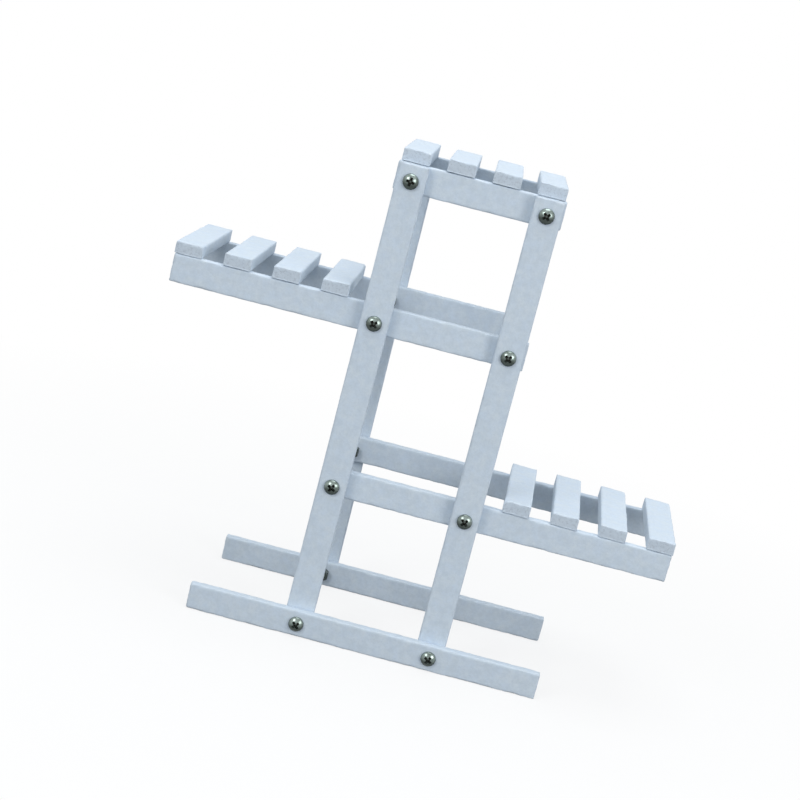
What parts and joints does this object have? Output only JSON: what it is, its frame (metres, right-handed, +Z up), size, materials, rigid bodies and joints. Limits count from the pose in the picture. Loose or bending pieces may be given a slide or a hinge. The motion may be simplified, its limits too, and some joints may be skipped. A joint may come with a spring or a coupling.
{
  "type": "plant shelf",
  "caption": "Small tiered plant stand of white-painted flat boards: two bolted ladder frames joined by slats, with a top shelf, a left shelf and a lower right shelf.",
  "frame": {"origin": "centre of the floor area that the object covers, at the underside of the feet", "axes": "+X along the feet towards the lower right shelf, +Y from the front frame to the rear frame, +Z up"},
  "size_m": [0.2746, 0.0952, 0.2473],
  "materials": {
    "white_paint": "brushed white satin paint on sawn softwood",
    "screw_steel": "bright zinc plate",
    "nut_steel": "bright zinc plate"
  },
  "bodies": {
    "root": {"front_left_post": "white_paint", "front_right_post": "white_paint", "rear_left_post": "white_paint", "rear_right_post": "white_paint", "front_lower_rail": "white_paint", "front_middle_rail": "white_paint", "front_top_rail": "white_paint", "rear_lower_rail": "white_paint", "rear_middle_rail": "white_paint", "rear_top_rail": "white_paint", "front_foot": "white_paint", "rear_foot": "white_paint", "top_slat_1": "white_paint", "top_slat_2": "white_paint", "top_slat_3": "white_paint", "top_slat_4": "white_paint", "left_slat_1": "white_paint", "left_slat_2": "white_paint", "left_slat_3": "white_paint", "left_slat_4": "white_paint", "right_slat_1": "white_paint", "right_slat_2": "white_paint", "right_slat_3": "white_paint", "right_slat_4": "white_paint", "front_screws": "screw_steel", "rear_screws": "screw_steel", "front_nuts": "nut_steel", "rear_nuts": "nut_steel"}
  },
  "joints": []
}
